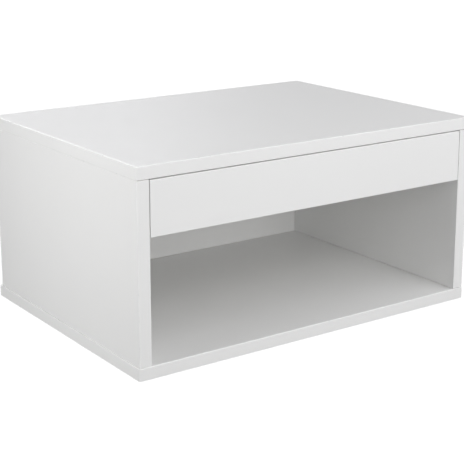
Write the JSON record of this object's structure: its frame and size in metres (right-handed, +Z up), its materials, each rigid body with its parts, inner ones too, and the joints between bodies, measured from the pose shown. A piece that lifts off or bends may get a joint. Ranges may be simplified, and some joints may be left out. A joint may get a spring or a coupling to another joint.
{
  "type": "floating nightstand",
  "caption": "Wall-hung white nightstand with a handleless inset drawer on roller slides above an open shelf.",
  "frame": {"origin": "underside of the bottom board, under the middle of the cabinet", "axes": "+X to the right as seen from the front, +Y towards the wall, +Z up; the drawer opens along -Y"},
  "size_m": [0.48, 0.348, 0.236],
  "materials": {
    "white_laminate": "satin white melamine on particleboard, with white edge band",
    "drawer_board": "white foil-wrapped board",
    "thin_board": "white-faced hardboard",
    "beech_dowel": "plain turned beech",
    "rail_enamel": "white baked enamel on bent steel",
    "zinc_plated_steel": "bright zinc plate",
    "cast_zinc": "matte die-cast zinc",
    "nylon": "natural white nylon"
  },
  "bodies": {
    "cabinet": {"top_panel": "white_laminate", "bottom_panel": "white_laminate", "back_panel": "white_laminate", "left_side_panel": "white_laminate", "left_hanger_plate": "zinc_plated_steel", "left_hanger_lower_screw": "zinc_plated_steel", "left_hanger_upper_screw": "zinc_plated_steel", "left_front_cam": "cast_zinc", "left_rear_cam": "cast_zinc", "left_front_cam_bolt": "zinc_plated_steel", "left_rear_cam_bolt": "zinc_plated_steel", "left_front_base_screw": "zinc_plated_steel", "left_rear_base_screw": "zinc_plated_steel", "left_back_base_screw": "zinc_plated_steel", "left_lower_dowel": "beech_dowel", "left_upper_dowel": "beech_dowel", "left_cabinet_rail": "rail_enamel", "left_cabinet_rail_front_screw": "zinc_plated_steel", "left_cabinet_rail_rear_screw": "zinc_plated_steel", "left_cabinet_axle": "zinc_plated_steel", "right_side_panel": "white_laminate", "right_hanger_plate": "zinc_plated_steel", "right_hanger_lower_screw": "zinc_plated_steel", "right_hanger_upper_screw": "zinc_plated_steel", "right_front_cam": "cast_zinc", "right_rear_cam": "cast_zinc", "right_front_cam_bolt": "zinc_plated_steel", "right_rear_cam_bolt": "zinc_plated_steel", "right_front_base_screw": "zinc_plated_steel", "right_rear_base_screw": "zinc_plated_steel", "right_back_base_screw": "zinc_plated_steel", "right_lower_dowel": "beech_dowel", "right_upper_dowel": "beech_dowel", "right_cabinet_rail": "rail_enamel", "right_cabinet_rail_front_screw": "zinc_plated_steel", "right_cabinet_rail_rear_screw": "zinc_plated_steel", "right_cabinet_axle": "zinc_plated_steel"},
    "drawer": {"drawer_front": "white_laminate", "drawer_back": "drawer_board", "drawer_bottom": "thin_board", "left_drawer_side": "drawer_board", "left_drawer_cam": "cast_zinc", "left_drawer_cam_bolt": "zinc_plated_steel", "left_drawer_back_screw": "zinc_plated_steel", "left_drawer_rail": "rail_enamel", "left_drawer_rail_front_screw": "zinc_plated_steel", "left_drawer_rail_rear_screw": "zinc_plated_steel", "left_drawer_axle": "zinc_plated_steel", "right_drawer_side": "drawer_board", "right_drawer_cam": "cast_zinc", "right_drawer_cam_bolt": "zinc_plated_steel", "right_drawer_back_screw": "zinc_plated_steel", "right_drawer_rail": "rail_enamel", "right_drawer_rail_front_screw": "zinc_plated_steel", "right_drawer_rail_rear_screw": "zinc_plated_steel", "right_drawer_axle": "zinc_plated_steel"},
    "left_cabinet_roller": {"left_cabinet_roller": "nylon"},
    "left_drawer_roller": {"left_drawer_roller": "nylon"},
    "right_cabinet_roller": {"right_cabinet_roller": "nylon"},
    "right_drawer_roller": {"right_drawer_roller": "nylon"}
  },
  "joints": [
    {"name": "drawer_slide", "type": "slide", "parent": "cabinet", "child": "drawer", "axis": [0, -1, 0], "range_m": [0, 0.225]},
    {"name": "left_cabinet_roller_spin", "type": "hinge", "parent": "cabinet", "child": "left_cabinet_roller", "pos_m": [-0.2169, -0.147, 0.1737], "axis": [1, 0, 0], "continuous": true},
    {"name": "left_drawer_roller_spin", "type": "hinge", "parent": "drawer", "child": "left_drawer_roller", "pos_m": [-0.2169, 0.1335, 0.1715], "axis": [1, 0, 0], "continuous": true},
    {"name": "right_cabinet_roller_spin", "type": "hinge", "parent": "cabinet", "child": "right_cabinet_roller", "pos_m": [0.2169, -0.147, 0.1737], "axis": [1, 0, 0], "continuous": true},
    {"name": "right_drawer_roller_spin", "type": "hinge", "parent": "drawer", "child": "right_drawer_roller", "pos_m": [0.2169, 0.1335, 0.1715], "axis": [1, 0, 0], "continuous": true}
  ],
  "couplings": [
    {"joint": "left_cabinet_roller_spin", "follows": "drawer_slide", "rad_per_m": 125},
    {"joint": "left_drawer_roller_spin", "follows": "drawer_slide", "rad_per_m": 125},
    {"joint": "right_cabinet_roller_spin", "follows": "drawer_slide", "rad_per_m": 125},
    {"joint": "right_drawer_roller_spin", "follows": "drawer_slide", "rad_per_m": 125}
  ]
}
